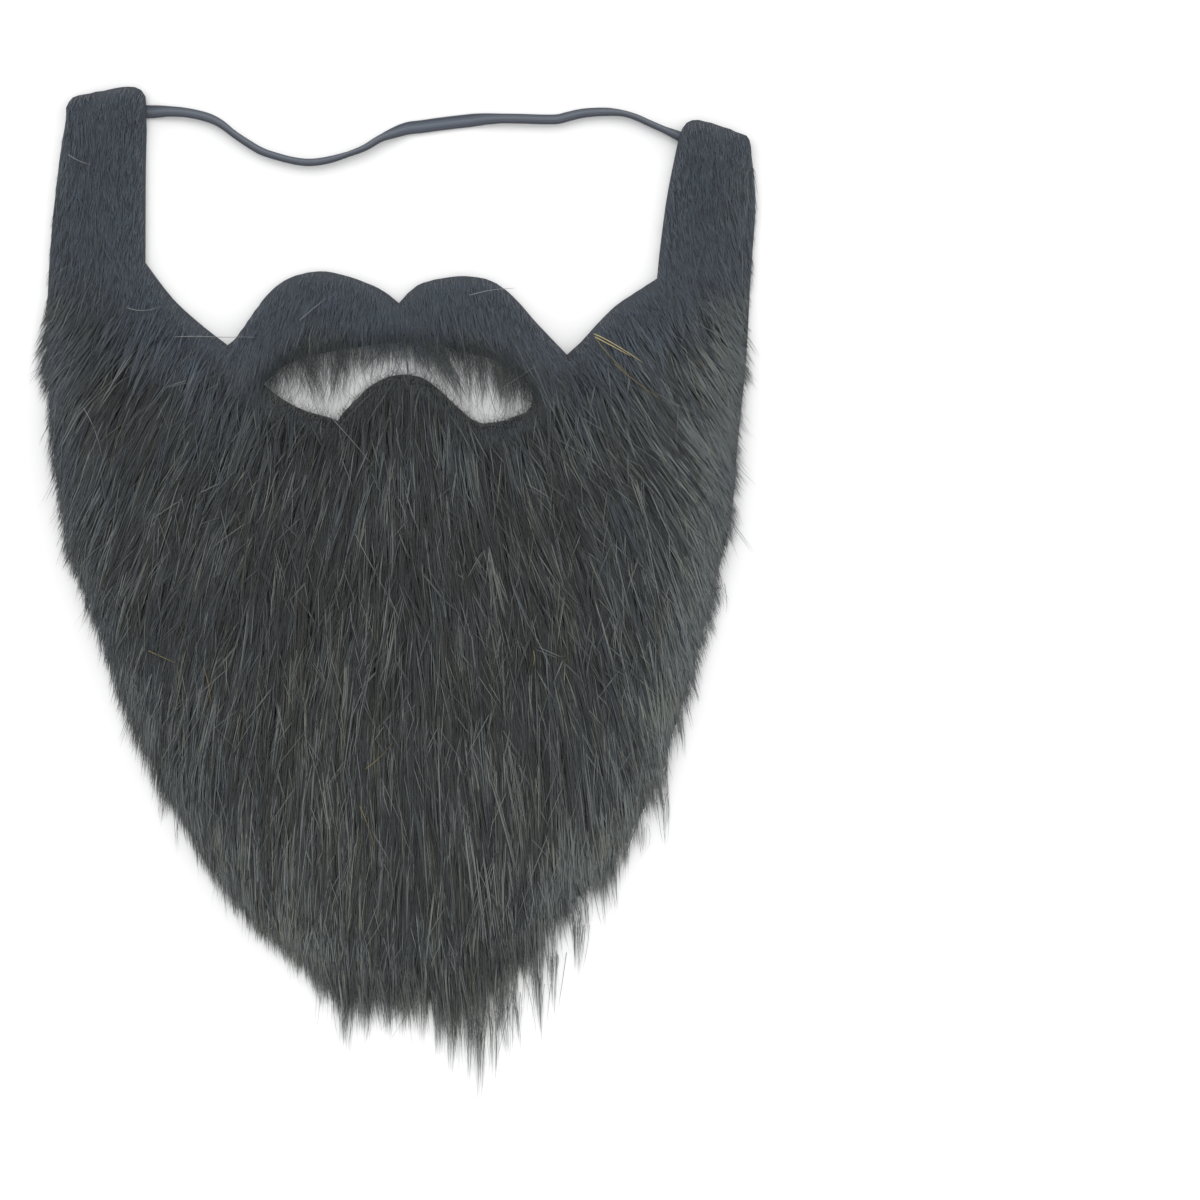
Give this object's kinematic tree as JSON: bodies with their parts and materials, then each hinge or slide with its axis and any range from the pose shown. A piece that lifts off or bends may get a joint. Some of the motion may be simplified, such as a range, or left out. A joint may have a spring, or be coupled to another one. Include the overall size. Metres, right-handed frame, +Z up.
{
  "type": "fake beard",
  "caption": "Costume beard of long black pile cloth with sideburns, moustache and a mouth opening, held by an elastic band between the sideburn tops; lies flat.",
  "frame": {"origin": "middle of the fur cloth's box in plan, on the surface that it lies on", "axes": "+Z up out of the pile, +Y towards the sideburn tops, +X towards the wearer's left"},
  "size_m": [0.2359, 0.328, 0.0176],
  "materials": {
    "black_fur": "long straight pile, charcoal with a slate tint at the cut edges",
    "black_elastic": "flat braided elastic, matt slate black"
  },
  "bodies": {
    "root": {"fur_cloth": "black_fur", "elastic_band": "black_elastic"}
  },
  "joints": []
}
